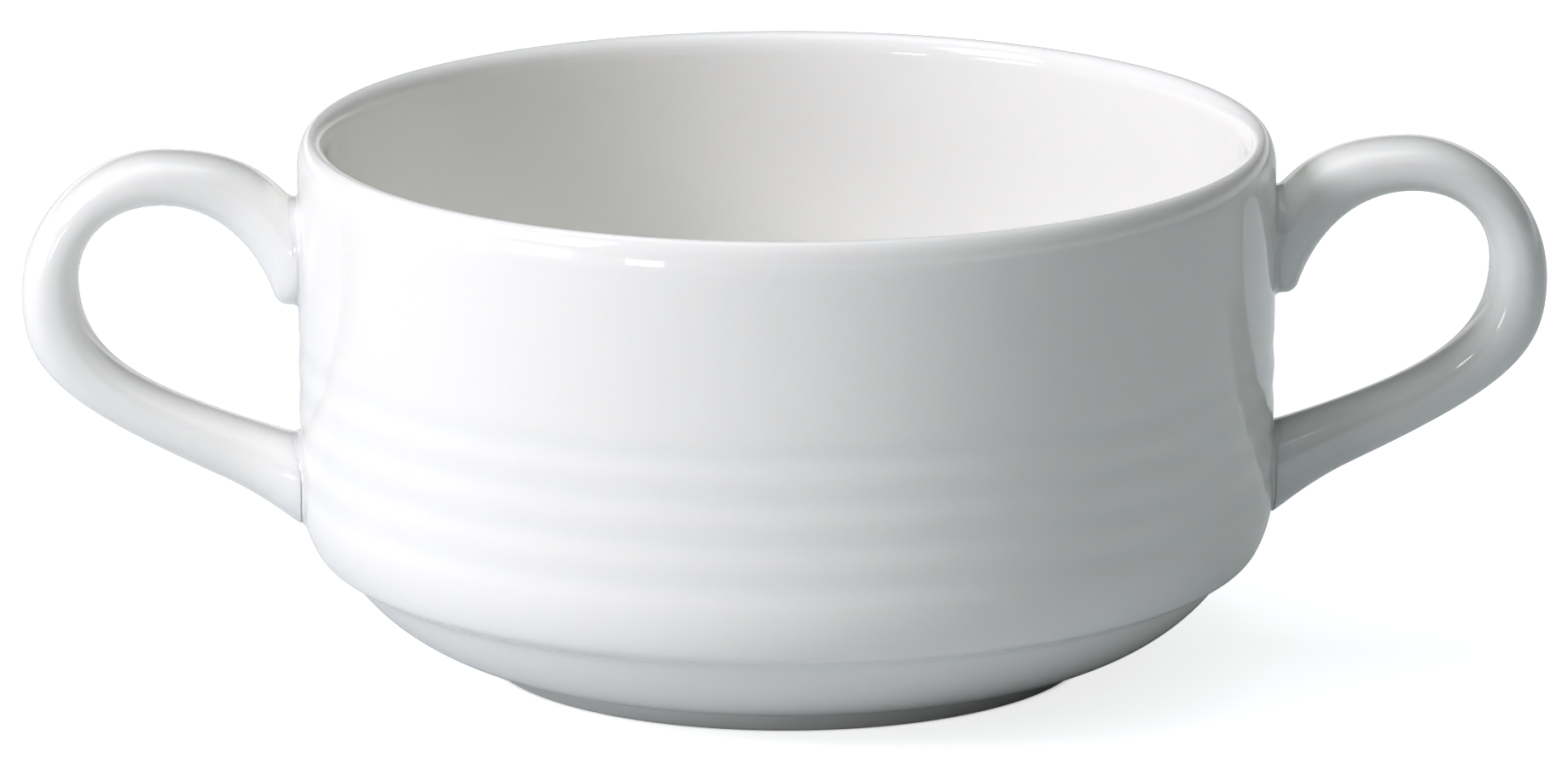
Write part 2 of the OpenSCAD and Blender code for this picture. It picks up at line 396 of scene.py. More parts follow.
@dataclass(frozen=True)
class HandleShape:
    """The loop handle between its two outlines, in millimetres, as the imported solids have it."""

    bowl: BowlShape
    loop_reach: float = 29.3
    loop_drop: float = 16.7
    loop_thickness: float = 6.1
    hole_drop: float = 14.9
    crown_reach: float = 14.5
    crown_drop: float = 1.3
    crown_thickness: float = 5.6
    strap_width: float = 9.6
    upper_root_drop: float = 6.9
    upper_root_height: float = 10.9
    upper_root_slope: float = 42.0
    toe_reach: float = 2.6
    toe_radius: float = 1.5
    toe_slope: float = 71.0
    toe_share: float = 0.2
    lower_root_rise: float = 2.8
    lower_root_height: float = 9.3
    hole_low_slope: float = 19.0
    strap_low_slope: float = 24.5
    outer_lead: float = 0.2
    root_width: float = 13.0
    flare_length: float = 8.0
    flare_height: float = 1.3
    fullness: float = 2.4
    strap_upper_pulls: Pulls = (0.18, 0.64)
    strap_end_pulls: Pulls = (0.33, 0.42)
    strap_lower_pulls: Pulls = (0.24, 0.72)
    hole_upper_pulls: Pulls = (0.4, 0.35)
    hole_round_pulls: Pulls = (0.53, 0.3)
    hole_lower_pulls: Pulls = (0.36, 0.48)
    toe_rings: int = 5
    crown_rings: int = 16
    end_rings: int = 14
    leg_rings: int = 26

    @property
    def upper_top(self) -> Spot:
        """Top of the upper root, on the slip's face."""
        return self.seat(self.bowl.height - self.upper_root_drop)

    @property
    def upper_toe(self) -> Spot:
        """Bottom of the upper root, on the slip's face."""
        return self.seat(self.upper_top.z - self.upper_root_height)

    @property
    def lower_bottom(self) -> Spot:
        """Bottom of the lower root, on the slip's face."""
        return self.seat(self.bowl.shoulder + self.lower_root_rise)

    @property
    def lower_top(self) -> Spot:
        """Top of the lower root, on the slip's face."""
        return self.seat(self.lower_bottom.z + self.lower_root_height)

    def seat(self, z: float) -> Spot:
        """Point of the slip's face at a height."""
        return Spot(self.bowl.plain_radius(z) + self.bowl.slip, z)

    def nearness(self, r: float) -> float:
        """How near the wall a distance from the axis is: 1 at the root, 0 past the flare."""
        return max(0.0, 1 - (r - self.bowl.wall_radius - self.bowl.slip) / self.flare_length)

    def half_width(self, r: float) -> float:
        """Half the strap's width where its middle is at a distance from the axis."""
        near = self.nearness(r)
        return (self.strap_width + (self.root_width - self.strap_width) * near * near) / 2

    def flared(self, spot: Spot) -> Spot:
        """A point of the lower outside edge, sunk below its straight line near the wall."""
        near = self.nearness(spot.r)
        return Spot(spot.r, spot.z - self.flare_height * near * near)

    def section(self, outer: Spot, inner: Spot) -> Section:
        """The cross-section between two points of the outlines."""
        return Section(outer, inner, self.half_width(outer.toward(inner, 0.5).r))

    def sections(self, fineness: int) -> list[Section]:
        """Cross-sections of the whole handle, from the upper root to the lower one.

        Args:
            fineness: Number that multiplies the count of sections in each stretch.

        Returns:
            The sections, the two root faces included.
        """
        wall, top = self.bowl.wall_radius, self.bowl.height
        crown = Spot(wall + self.crown_reach, top - self.crown_drop)
        hole_top = Spot(crown.r, crown.z - self.crown_thickness)
        loop_end = Spot(wall + self.loop_reach, top - self.loop_drop)
        hole_end = Spot(loop_end.r - self.loop_thickness, top - self.hole_drop)
        flare = Spot(self.lower_bottom.r, self.lower_bottom.z + self.flare_height)
        toe = circle(Spot(wall + self.toe_reach - self.toe_radius,
                          self.upper_toe.z + self.toe_radius), self.toe_radius)
        toe_end = toe.at(math.radians(self.toe_slope - 90))
        hole_low = 180 + self.hole_low_slope
        strap_low = 180 + self.strap_low_slope

        strap_upper = Curve(self.upper_top, self.upper_root_slope, crown, 0,
                            self.strap_upper_pulls).at
        strap_end = Curve(crown, 0, loop_end, -90, self.strap_end_pulls).at
        strap_lower = Curve(loop_end, -90, flare, strap_low, self.strap_lower_pulls).at
        hole_upper = Curve(toe_end, self.toe_slope, hole_top, 0, self.hole_upper_pulls).at
        hole_round = Curve(hole_top, 0, hole_end, -90, self.hole_round_pulls).at
        hole_lower = Curve(hole_end, -90, self.lower_top, hole_low, self.hole_lower_pulls).at
        lead = self.outer_lead
        stretches = [
            (self.toe_rings, lambda t: (
                strap_upper(self.toe_share * t),
                toe.at(math.radians(self.toe_slope * t - 90)) if t else self.upper_toe)),
            (self.crown_rings, lambda t: (
                strap_upper(self.toe_share + (1 - self.toe_share) * t), hole_upper(t))),
            (self.end_rings, lambda t: (strap_end(t), hole_round(t))),
            (self.leg_rings, lambda t: (
                self.flared(strap_lower(t + lead * t * (1 - t))), hole_lower(t))),
        ]
        sections = []
        for rings, outlines in stretches:
            count = rings * fineness
            sections += [self.section(*outlines(i / count)) for i in range(count)]
        sections.append(self.section(self.lower_bottom, self.lower_top))
        return sections


class Bench:
    """Modelling steps in Blender's edit mode, done as by hand."""

    @staticmethod
    def clear() -> None:
        """Leaves edit mode and deselects everything."""
        if bpy.context.mode != "OBJECT":
            bpy.ops.object.mode_set(mode="OBJECT")
        bpy.ops.object.select_all(action="DESELECT")

    @classmethod
    def pick(cls, piece: bpy.types.Object) -> None:
        """Selects one piece alone and makes it the active one.

        Args:
            piece: The piece.
        """
        cls.clear()
        piece.select_set(True)
        bpy.context.view_layer.objects.active = piece

    @staticmethod
    def name(piece_name: str) -> bpy.types.Object:
        """Names the object that was just made, and its mesh.

        Args:
            piece_name: The new name.

        Returns:
            The object.
        """
        piece = bpy.context.object
        piece.name = piece_name
        piece.data.name = piece_name
        return piece

    @classmethod
    def turn(cls, piece_name: str, outline: list[Spot], segments: int) -> bpy.types.Object:
        """Turns an outline about the bowl's axis.

        Args:
            piece_name: Name of the new piece.
            outline: Outline that starts and ends on the axis.
            segments: Number of steps in the full turn.

        Returns:
            The closed piece.
        """
        cls.clear()
        bpy.ops.mesh.primitive_plane_add(size=MM, enter_editmode=True)
        piece = cls.name(piece_name)
        mesh = bmesh.from_edit_mesh(piece.data)
        mesh.verts.ensure_lookup_table()
        bpy.ops.mesh.select_all(action="DESELECT")
        for corner in mesh.verts[1:]:
            corner.select_set(True)
        bpy.ops.mesh.delete(type="VERT")
        bpy.ops.mesh.select_all(action="SELECT")
        first = next(iter(bmesh.from_edit_mesh(piece.data).verts))
        start = Vector((outline[0].r * MM, 0, outline[0].z * MM))
        bpy.ops.transform.translate(value=start - first.co)
        for spot, following in pairwise(outline):
            step = ((following.r - spot.r) * MM, 0, (following.z - spot.z) * MM)
            bpy.ops.mesh.extrude_vertices_move(TRANSFORM_OT_translate={"value": step})
        bpy.ops.mesh.select_all(action="SELECT")
        bpy.ops.mesh.spin(steps=segments, angle=math.tau, center=(0, 0, 0), axis=(0, 0, 1))
        cls.close()
        return piece

    @classmethod
    def loft(cls, piece_name: str, sections: list[Section], sides: int,
             fullness: float) -> bpy.types.Object:
        """Draws a strap through its cross-sections, each ring extruded from the one before.

        Args:
            piece_name: Name of the new piece.
            sections: The cross-sections in order.
            sides: Number of corners in each ring.
            fullness: Roundness of the ring's corners: 2 is an ellipse, more is squarer.

        Returns:
            The strap, open at both ends and still in edit mode.
        """
        cls.clear()
        bpy.ops.mesh.primitive_circle_add(vertices=sides, radius=MM, enter_editmode=True)
        piece = cls.name(piece_name)
        cls.square_up(fullness)
        first = sections[0]
        cls.resize(first.half_thickness, first.half_width)
        cls.place(first, 1)
        for section, following in pairwise(sections):
            bpy.ops.mesh.extrude_region_move()
            cls.place(section, -1)
            cls.resize(following.half_thickness / section.half_thickness,
                       following.half_width / section.half_width)
            cls.place(following, 1)
        return piece

    @staticmethod
    def square_up(fullness: float) -> None:
        """Flattens the sides of the ring that was just made, and keeps its width and height.

        Args:
            fullness: Roundness of the ring's corners: 2 is an ellipse, more is squarer.
        """
        mesh = bpy.context.object.data
        for corner in bmesh.from_edit_mesh(mesh).verts:
            across, along = abs(corner.co.x / MM), abs(corner.co.y / MM)
            corner.co *= (across ** fullness + along ** fullness) ** (-1 / fullness)
        bmesh.update_edit_mesh(mesh)

    @staticmethod
    def resize(thickness: float, width: float) -> None:
        """Scales the selected ring about the origin, along X and along Y."""
        bpy.ops.transform.resize(value=(thickness, width, 1), center_override=(0, 0, 0))

    @staticmethod
    def place(section: Section, way: int) -> None:
        """Turns and moves the selected ring from the origin to a section, or back.

        Args:
            section: The cross-section whose tilt and middle are used.
            way: 1 to go to the section, -1 to come back from it.
        """
        move = Vector((section.middle.r * MM, 0, section.middle.z * MM)) * way
        if way < 0:
            bpy.ops.transform.translate(value=move)
        bpy.ops.transform.rotate(value=section.tilt * way, orient_axis="Y",
                                 center_override=(0, 0, 0))
        if way > 0:
            bpy.ops.transform.translate(value=move)

    @staticmethod
    def cap() -> None:
        """Closes the open ends of the piece that is being edited."""
        bpy.ops.mesh.select_all(action="DESELECT")
        bpy.ops.mesh.select_mode(type="EDGE")
        bpy.ops.mesh.select_non_manifold()
        bpy.ops.mesh.fill_holes(sides=0)
        bpy.ops.mesh.select_mode(type="VERT")

    @staticmethod
    def close() -> None:
        """Merges doubles, points the faces outwards and leaves edit mode."""
        bpy.ops.mesh.select_all(action="SELECT")
        bpy.ops.mesh.remove_doubles(threshold=MERGE_DISTANCE)
        bpy.ops.mesh.normals_make_consistent(inside=False)
        bpy.ops.object.mode_set(mode="OBJECT")

    @classmethod
    def smooth(cls, piece: bpy.types.Object, angle: float) -> None:
        """Shades a piece smooth across edges that are flatter than an angle in degrees."""
        cls.pick(piece)
        bpy.ops.object.shade_smooth_by_angle(angle=math.radians(angle))

    @classmethod
    def mirrored(cls, piece: bpy.types.Object, piece_name: str) -> bpy.types.Object:
        """Copies a piece to the other side of the bowl.

        Args:
            piece: The piece on the right.
            piece_name: Name of the copy on the left.

        Returns:
            The copy, with its own mesh.
        """
        cls.pick(piece)
        bpy.ops.object.duplicate()
        twin = cls.name(piece_name)
        bpy.ops.object.mode_set(mode="EDIT")
        bpy.ops.mesh.select_all(action="SELECT")
        bpy.ops.transform.resize(value=(-1, 1, 1), center_override=(0, 0, 0))
        cls.close()
        return twin


class NodeSheet:
    """The node tree of a material or of the world, built a node at a time."""

    def __init__(self, owner: bpy.types.Material | bpy.types.World) -> None:
        """Empties the node tree.

        Args:
            owner: The material or world that the tree belongs to.
        """
        owner.use_nodes = True
        self.owner = owner
        self.tree = owner.node_tree
        self.tree.nodes.clear()

    @classmethod
    def material(cls, name: str) -> NodeSheet:
        """Starts a new material."""
        return cls(bpy.data.materials.new(name))

    @cached_property
    def place(self) -> Socket:
        """The place on the piece."""
        return self.node("TexCoord").outputs["Object"]

    def node(self, kind: str, settings: dict[str, object] | None = None,
             terms: tuple[Source, ...] = (), **inputs: Source) -> bpy.types.Node:
        """Adds a node, and links or sets its inputs.

        Args:
            kind: Node type, without its ShaderNode prefix.
            settings: The node's own properties.
            terms: What its first inputs get, in order.
            **inputs: What other inputs get, by name with underscores for spaces.

        Returns:
            The new node.
        """
        new = self.tree.nodes.new(f"ShaderNode{kind}")
        for key, value in (settings or {}).items():
            setattr(new, key, value)
        for target, source in zip(new.inputs, terms):
            self.feed(target, source)
        for key, source in inputs.items():
            self.feed(new.inputs[key.replace("_", " ")], source)
        return new

    def feed(self, target: Socket, source: Source) -> None:
        """Links an input to a socket, or sets it to a value.

        Args:
            target: The input.
            source: The output socket, number, vector or colour that it gets.
        """
        if isinstance(source, Socket):
            self.tree.links.new(source, target)
        else:
            target.default_value = source

    def maths(self, operation: str, *terms: Source) -> Socket:
        """The result of a sum, named as the Math node names it."""
        return self.node("Math", {"operation": operation}, terms).outputs[0]

    def highest(self, sockets: list[Socket]) -> Socket:
        """The highest of the numbers that several sockets give."""
        return reduce(partial(self.maths, "MAXIMUM"), sockets)

    def ramp(self, value: Socket, span: tuple[float, float], levels: tuple[float, float],
             easing: str = "LINEAR") -> Socket:
        """Adds a ramp from one level to another.

        Args:
            value: Socket with the number that is followed.
            span: Where the ramp starts and where it ends.
            levels: Its result up to the start, and from the end on.
            easing: How it gets there, as the Map Range node names it.

        Returns:
            The ramp's result.
        """
        new = self.node("MapRange", {"interpolation_type": easing}, (value, *span, *levels))
        return new.outputs["Result"]

    def tinted(self, share: Socket, one: Source, other: Source) -> Socket:
        """Adds a mix of two colours.

        Args:
            share: Socket with the second colour's share.
            one: The first colour.
            other: The second colour.

        Returns:
            The mixed colour.
        """
        new = self.node("Mix", {"data_type": "RGBA"})
        for i, source in zip(COLOUR_MIX_INPUTS, (share, one, other)):
            self.feed(new.inputs[i], source)
        return new.outputs[COLOUR_MIX_OUTPUT]


def opaque(colour: Colour) -> tuple[float, float, float, float]:
    """A colour with full opacity, as sockets take it."""
    return (*colour, 1.0)


@dataclass(frozen=True)
class GlazeFinish:
    """Clear gloss glaze over white porcelain.

    The colour is cooler and greyer in the given hollows of the wall: partly glaze that lies thicker
    there, partly painted shade.
    The inside can be given a whiter colour, which is painted light that brightens it.
    Its surface has the slow waves of glaze that has run, under a very fine orange peel.
    Sizes are in millimetres, and each pool of glaze and painted shade is given by its height and its
    reach.
    """

    name: str
    clay: Colour = (0.90, 0.892, 0.86)
    # cooler, greyer colour of pooled glaze and painted shade in the hollows
    pooled_and_shaded: Colour = (0.875, 0.875, 0.85)
    mottle: float = 0.012
    wave_size: float = 16.0
    wave_depth: float = 0.02
    peel_size: float = 1.1
    peel_depth: float = 0.0006
    cloud_roughness: float = 0.45
    roughness: float = 0.045
    roughness_spread: float = 0.02
    refraction: float = 1.5
    scatter: float = 0.3
    scatter_reach: float = 3.0
    scatter_colours: Colour = (1.0, 0.9, 0.75)
    pools_and_shade: tuple[tuple[float, float], ...] = ()
    # whiter colour for the inside: painted light
    painted_inside_light: Colour | None = None

    def material(self) -> bpy.types.Material:
        """Builds the glaze as a procedural material.

        Returns:
            The finished material.
        """
        sheet = NodeSheet.material(self.name)
        shader = sheet.node(
            "BsdfPrincipled",
            Base_Color=self.colour(sheet),
            Roughness=self.gloss(sheet),
            Normal=self.relief(sheet),
            IOR=self.refraction,
            Subsurface_Weight=self.scatter,
            Subsurface_Radius=self.scatter_colours,
            Subsurface_Scale=self.scatter_reach * MM,
        )
        sheet.node("OutputMaterial", Surface=shader.outputs["BSDF"])
        return sheet.owner

    def noise(self, sheet: NodeSheet, size: float, detail: float) -> Socket:
        """A cloudy pattern with lumps of a size in millimetres."""
        return sheet.node("TexNoise", Vector=sheet.place, Scale=1 / (size * MM), Detail=detail,
                          Roughness=self.cloud_roughness).outputs["Fac"]

    def colour(self, sheet: NodeSheet) -> Socket:
        """Colour of the glazed clay: mottled, cooler and greyer where glaze pools and shade is painted
        in the hollows, and whiter inside as painted light.

        Args:
            sheet: The material's node sheet.

        Returns:
            The colour.
        """
        ground: Source = opaque(self.clay)
        # Painted light: the inside gets a whiter colour than the outside.
        if self.painted_inside_light:
            ground = sheet.tinted(self.outward(sheet), opaque(self.painted_inside_light), ground)
        # Pooled glaze and painted shade: the hollows get a cooler, greyer colour.
        tint = sheet.tinted(self.pooling_and_shade(sheet), ground, opaque(self.pooled_and_shaded))
        cloud = self.noise(sheet, self.wave_size, detail=3.0)
        mottled = sheet.ramp(cloud, (0.0, 1.0), (1 - self.mottle, 1.0))
        shade = sheet.node("VectorMath", {"operation": "SCALE"}, (tint,), Scale=mottled)
        return shade.outputs["Vector"]

    def pooling_and_shade(self, sheet: NodeSheet) -> Socket:
        """How far the glaze has pooled, with painted shade: 0 on open wall, up to 1 in a hollow.

        Args:
            sheet: The material's node sheet.

        Returns:
            The pooling and painted shade, which follow the height where pools are given, and else a
            slow cloud.
        """
        if not self.pools_and_shade:
            return self.noise(sheet, self.wave_size * 2, detail=1.0)
        height = sheet.node("SeparateXYZ", Vector=sheet.place).outputs["Z"]
        fades = []
        for middle, reach in self.pools_and_shade:
            away = sheet.maths("ABSOLUTE", sheet.maths("SUBTRACT", height, middle * MM))
            fades.append(sheet.ramp(away, (0.0, reach * MM), (1.0, 0.0), "SMOOTHSTEP"))
        return sheet.maths("MULTIPLY", sheet.highest(fades), self.outward(sheet))

    @staticmethod
    def outward(sheet: NodeSheet) -> Socket:
        """Which way the surface faces, seen from the bowl's axis.

        Args:
            sheet: The material's node sheet.

        Returns:
            1 where it faces away from the axis, 0 on the inside.
        """
        level = sheet.node("VectorMath", {"operation": "MULTIPLY"},
                           (sheet.place, (1.0, 1.0, 0.0)))
        normal = sheet.node("NewGeometry").outputs["Normal"]
        away = sheet.node("VectorMath", {"operation": "DOT_PRODUCT"},
                          (normal, level.outputs["Vector"]))
        return sheet.ramp(away.outputs["Value"], (-LIP_BLEND, LIP_BLEND), (0.0, 1.0))

    def gloss(self, sheet: NodeSheet) -> Socket:
        """Roughness of the glaze, a little uneven.

        Args:
            sheet: The material's node sheet.

        Returns:
            The roughness.
        """
        cloud = self.noise(sheet, self.wave_size / 2, detail=4.0)
        smoothest = self.roughness - self.roughness_spread
        return sheet.ramp(cloud, (0.0, 1.0), (smoothest, self.roughness + self.roughness_spread))

    def relief(self, sheet: NodeSheet) -> Socket:
        """Slow waves of run glaze with a fine orange peel on them.

        Args:
            sheet: The material's node sheet.

        Returns:
            The direction that the uneven surface faces.
        """
        waves = sheet.node("Bump", Strength=1.0, Distance=self.wave_depth * MM,
                           Height=self.noise(sheet, self.wave_size, detail=1.0))
        peel = sheet.node("Bump", Strength=1.0, Distance=self.peel_depth * MM,
                          Height=self.noise(sheet, self.peel_size, detail=2.0),
                          Normal=waves.outputs["Normal"])
        return peel.outputs["Normal"]


@dataclass(frozen=True)
class BisqueFinish:
    """Bare fired porcelain, ground flat on the foot ring's face. Sizes are in millimetres."""

    name: str = "bisque_foot"
    clay: Colour = (0.78, 0.77, 0.735)
    stain: Colour = (0.66, 0.65, 0.61)
    stain_size: float = 6.0
    grain_size: float = 0.35
    grain_depth: float = 0.015
    grain_strength: float = 0.8
    roughness: float = 0.72
    refraction: float = 1.45

    def material(self) -> bpy.types.Material:
        """Builds the bare clay as a procedural material.

        Returns:
            The finished material.
        """
        sheet = NodeSheet.material(self.name)
        cloud = sheet.node("TexNoise", Vector=sheet.place, Scale=1 / (self.stain_size * MM), Detail=5.0)
        grain = sheet.node("TexNoise", Vector=sheet.place, Scale=1 / (self.grain_size * MM), Detail=3.0)
        bump = sheet.node("Bump", Strength=self.grain_strength, Distance=self.grain_depth * MM,
                          Height=grain.outputs["Fac"])
        shader = sheet.node(
            "BsdfPrincipled",
            Base_Color=sheet.tinted(cloud.outputs["Fac"], opaque(self.clay), opaque(self.stain)),
            Roughness=self.roughness,
            Normal=bump.outputs["Normal"],
            IOR=self.refraction,
        )
        sheet.node("OutputMaterial", Surface=shader.outputs["BSDF"])
        return sheet.owner


class Side(Enum):
    """The side of the bowl that a handle is on."""

    LEFT = "left"
    RIGHT = "right"


class Root(Enum):
    """The root of a handle that a slip joint holds."""

    UPPER = "upper"
    LOWER = "lower"


@dataclass
class BowlBody:
    """The turned bowl: wall with its rings, lip, stacking base and foot ring."""

    shape: BowlShape
    node: str = "bowl_body"
    segments: int = 256
    smooth_angle: float = 50.0
    groove_pool_and_shade: float = 0.4  # reach of the pooled glaze and painted shade in a groove, as a share of the grooves' pitch
    # reaches of the pooled glaze and painted shade under the shoulder and above the foot
    ledge_pool_and_shade: float = 1.1
    foot_pool_and_shade: float = 1.0
    # painted light: the inside's whiter colour
    painted_inside_light: Colour = (0.955, 0.947, 0.912)
    bare_share: float = 0.45  # share of the foot's edge that is ground bare with its face
    glaze: GlazeFinish = field(init=False)
    bisque: BisqueFinish = field(default_factory=BisqueFinish)

    def __post_init__(self) -> None:
        """Lays the pools of glaze and painted shade in the grooves, under the shoulder and above the
        foot.
        """
        shape = self.shape
        reach = shape.groove_pitch * self.groove_pool_and_shade
        grooves = [(shape.groove_bottom + shape.groove_pitch * (i + 0.5), reach)
                   for i in range(shape.grooves)]
        ledge = (shape.shoulder - shape.ledge, self.ledge_pool_and_shade)
        foot = (shape.foot_height, self.foot_pool_and_shade)
        self.glaze = GlazeFinish("bowl_glaze", pools_and_shade=(*grooves, ledge, foot), painted_inside_light=self.painted_inside_light)

    def build(self) -> bpy.types.Object:
        """Turns the bowl and dresses it.

        Returns:
            The finished bowl.
        """
        piece = Bench.turn("porcelain_bowl", self.shape.profile(), self.segments)
        Bench.smooth(piece, self.smooth_angle)
        self.dress(piece)
        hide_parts(self.node)
        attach(piece, ROOT_BODY)
        return piece

    def dress(self, piece: bpy.types.Object) -> None:
        """Gives the bowl its glaze, and the foot ring's face its bare clay.

        Args:
            piece: The turned bowl.
        """
        piece.data.materials.append(self.glaze.material())
        piece.data.materials.append(self.bisque.material())
        shape = self.shape
        bare_height = shape.foot_edge * self.bare_share * MM
        inner = (shape.foot_radius - shape.foot_taper - shape.foot_face - 2 * shape.foot_edge) * MM
        for face in piece.data.polygons:
            middle = face.center
            low = middle.z < bare_height
            face.material_index = 1 if low and math.hypot(middle.x, middle.y) > inner else 0


@dataclass
class LoopHandle:
    """A cast loop handle, lofted between its outer edge and the finger hole."""

    shape: HandleShape
    fineness: int = 2
    sides: int = 64
    smooth_angle: float = 50.0
    glaze: GlazeFinish = field(default_factory=lambda: GlazeFinish("handle_glaze", wave_size=9.0))

    def build(self) -> dict[Side, bpy.types.Object]:
        """Models the right handle, copies it to the left, and dresses both.

        Returns:
            The handles by side.
        """
        sections = self.shape.sections(self.fineness)
        right = Bench.loft("porcelain_handle_right", sections, self.sides, self.shape.fullness)
        Bench.cap()
        Bench.close()
        self.wrap(right)
        Bench.smooth(right, self.smooth_angle)
        left = Bench.mirrored(right, "porcelain_handle_left")
        glaze = self.glaze.material()
        handles = {Side.RIGHT: right, Side.LEFT: left}
        for side, piece in handles.items():
            piece.data.materials.clear()
            piece.data.materials.append(glaze)
            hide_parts(f"{side.value}_handle")
            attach(piece, ROOT_BODY)
        return handles

    def wrap(self, piece: bpy.types.Object) -> None:
        """Bends the flat strap round the wall, so that its roots lie on the slip's face.

        Args:
            piece: The strap, whose first and last rings are its roots' faces.
        """
        count = len(piece.data.vertices)
        ends = {*range(self.sides), *range(count - self.sides, count)}
        for vertex in piece.data.vertices:
            spot = vertex.co
            r = self.shape.seat(spot.z / MM).r * MM if vertex.index in ends else spot.x
            spot.x = math.sqrt(r * r - spot.y * spot.y)


@dataclass
class SlipJoint:
    """The bead of slip round a handle's root, sponged to a small hollow fillet."""

    shape: HandleShape
    root: Root
    glaze: bpy.types.Material
    fillet: float = 0.6
    sink: float = 0.35
    tuck: float = 0.02
    fineness: int = 4
    steps: int = 10
    sides: int = 64
    smooth_angle: float = 40.0

    @property
    def low(self) -> float:
        """Height of the bottom of the root."""
        return (self.shape.upper_toe if self.root is Root.UPPER else self.shape.lower_bottom).z

    @property
    def high(self) -> float:
        """Height of the top of the root."""
        return (self.shape.upper_top if self.root is Root.UPPER else self.shape.lower_top).z

    def ring(self, away: float, grown: float) -> Section:
        """A ring round the root, at a distance from the wall and grown by an amount."""
        return self.edge_ring(away, self.low - grown, self.high + grown,
                              self.shape.root_width / 2 + grown)

    def edge_ring(self, away: float, low: float, high: float, half_width: float) -> Section:
        """A ring between two heights, at a distance from the wall."""
        r = self.shape.bowl.wall_radius + away
        return Section(Spot(r, high), Spot(r, low), half_width)

    def strap_ring(self, away: float, shrunk: float) -> Section:
        """The ring of the strap itself.

        Args:
            away: Distance from the wall.
            shrunk: Amount by which it is smaller than the strap.

        Returns:
            The ring.
        """
        r = self.shape.bowl.wall_radius + away
        sections = self.shape.sections(self.fineness)
        if self.root is Root.LOWER:
            sections.reverse()
        outer = crossing([section.outer for section in sections], r)
        inner = crossing([section.inner for section in sections], r)
        bottom, top = sorted((outer, inner))
        return self.edge_ring(away, bottom + shrunk, top - shrunk,
                              self.shape.half_width(r) - shrunk)

    def sections(self) -> list[Section]:
        """Rings of the bead.

        Returns:
            The rings of its closed section, from inside the strap, over the fillet, and back.
        """
        reach = self.fillet + self.shape.bowl.slip
        wall = self.ring(0.0, self.fillet)
        corner = self.ring(0.0, 0.0)
        strap = self.strap_ring(reach, self.tuck)
        hidden = self.ring(-self.sink, -self.sink)
        rings = [hidden, self.strap_ring(reach, self.sink)]
        for i in range(self.steps + 1):
            t = i / self.steps
            rings.append(mixed(mixed(strap, corner, t), mixed(corner, wall, t), t))
        rings += [self.ring(-self.sink, self.fillet), hidden]
        return rings

    def build(self) -> dict[Side, bpy.types.Object]:
        """Models the right bead, copies it to the left, and dresses both.

        Returns:
            The beads by side.
        """
        name = f"slip_bead_{self.root.value}"
        right = Bench.loft(f"{name}_right", self.sections(), self.sides, self.shape.fullness)
        Bench.close()
        self.wrap(right)
        Bench.smooth(right, self.smooth_angle)
        left = Bench.mirrored(right, f"{name}_left")
        beads = {Side.RIGHT: right, Side.LEFT: left}
        for side, piece in beads.items():
            piece.data.materials.clear()
            piece.data.materials.append(self.glaze)
            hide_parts(f"{side.value}_{self.root.value}_slip_joint")
            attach(piece, ROOT_BODY)
        return beads

    def wrap(self, piece: bpy.types.Object) -> None:
        """Lays the bead on the real wall, with its grooves and its draw-in.

        Args:
            piece: The bead, made for a straight wall.
        """
        bowl = self.shape.bowl
        for vertex in piece.data.vertices:
            spot = vertex.co
            r = spot.x + (bowl.outside(spot.z / MM).r - bowl.wall_radius) * MM
            spot.x = math.sqrt(r * r - spot.y * spot.y)


def mixed(one: Section, other: Section, share: float) -> Section:
    """The section a share of the way from one to another."""
    width = one.half_width + (other.half_width - one.half_width) * share
    return Section(one.outer.toward(other.outer, share), one.inner.toward(other.inner, share), width)


def crossing(edge: list[Spot], r: float) -> float:
    """Height at which an edge first reaches a distance from the axis.

    Args:
        edge: Points of the edge, from the wall outwards.
        r: The distance.

    Returns:
        The height there, or the edge's first one where it doesn't come that far.
    """
    for spot, following in pairwise(edge):
        if spot.r <= r <= following.r:
            return spot.toward(following, (r - spot.r) / (following.r - spot.r)).z
    return edge[0].z


KEY_COLOUR: Colour = (0.99, 0.96, 1.035)


@dataclass(frozen=True)
class Lamp:
    """A soft box: a square area lamp that looks at the bowl."""

    name: str
    place: tuple[float, float, float]
    size: float
    power: float
    colour: Colour = (1.0, 1.0, 1.0)


@dataclass(frozen=True)
class Glow:
    """The floor's glow: its strength, and the millimetres from the axis to its start and its full."""

    strength: float
    dark: float
    full: float


